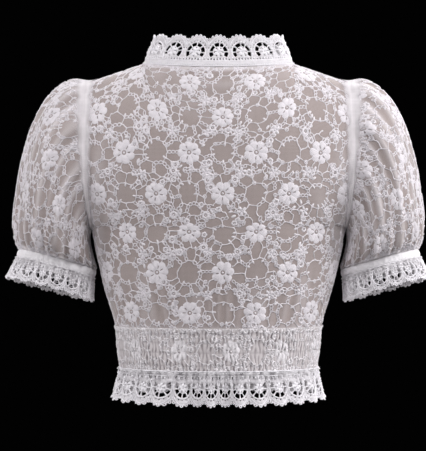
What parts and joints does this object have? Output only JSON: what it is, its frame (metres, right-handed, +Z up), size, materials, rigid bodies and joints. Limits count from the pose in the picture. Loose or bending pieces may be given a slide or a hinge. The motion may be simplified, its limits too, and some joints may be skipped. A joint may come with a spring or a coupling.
{
  "type": "dirndl blouse",
  "caption": "Short-sleeved white lace dirndl blouse with puff sleeves, a stand-up scalloped lace collar, a shirred waistband and scalloped lace frills at cuffs and hem.",
  "frame": {"origin": "midway between the two points where the shoulder seams meet the neckline, where the wearer's shoulders carry the blouse", "axes": "+Z up the wearer's back, +Y out of the blouse's front, +X to the wearer's right"},
  "size_m": [0.5542, 0.227, 0.4757],
  "materials": {
    "floral_lace": "matt white floral lace with raised cords on a fine greige net, half see-through",
    "edging_lace": "matt white scalloped guipure edging, open between its flowers and picots",
    "cotton_band": "soft off-white plain cotton weave",
    "pearl_button": "small domed off-white button with a soft gloss"
  },
  "bodies": {
    "root": {"back": "floral_lace", "front_left": "floral_lace", "front_right": "floral_lace", "sleeve_left": "floral_lace", "sleeve_right": "floral_lace", "waistband": "floral_lace", "hem_frill_back": "edging_lace", "hem_frill_front": "edging_lace", "cuff_frill_front_left": "edging_lace", "cuff_frill_back_left": "edging_lace", "cuff_frill_front_right": "edging_lace", "cuff_frill_back_right": "edging_lace", "collar_back": "edging_lace", "collar_front_left": "edging_lace", "collar_front_right": "edging_lace", "cuff_band_left": "cotton_band", "cuff_band_right": "cotton_band", "button_band": "cotton_band", "button_1": "pearl_button", "button_2": "pearl_button", "button_3": "pearl_button", "button_4": "pearl_button", "button_5": "pearl_button", "button_6": "pearl_button"}
  },
  "joints": []
}
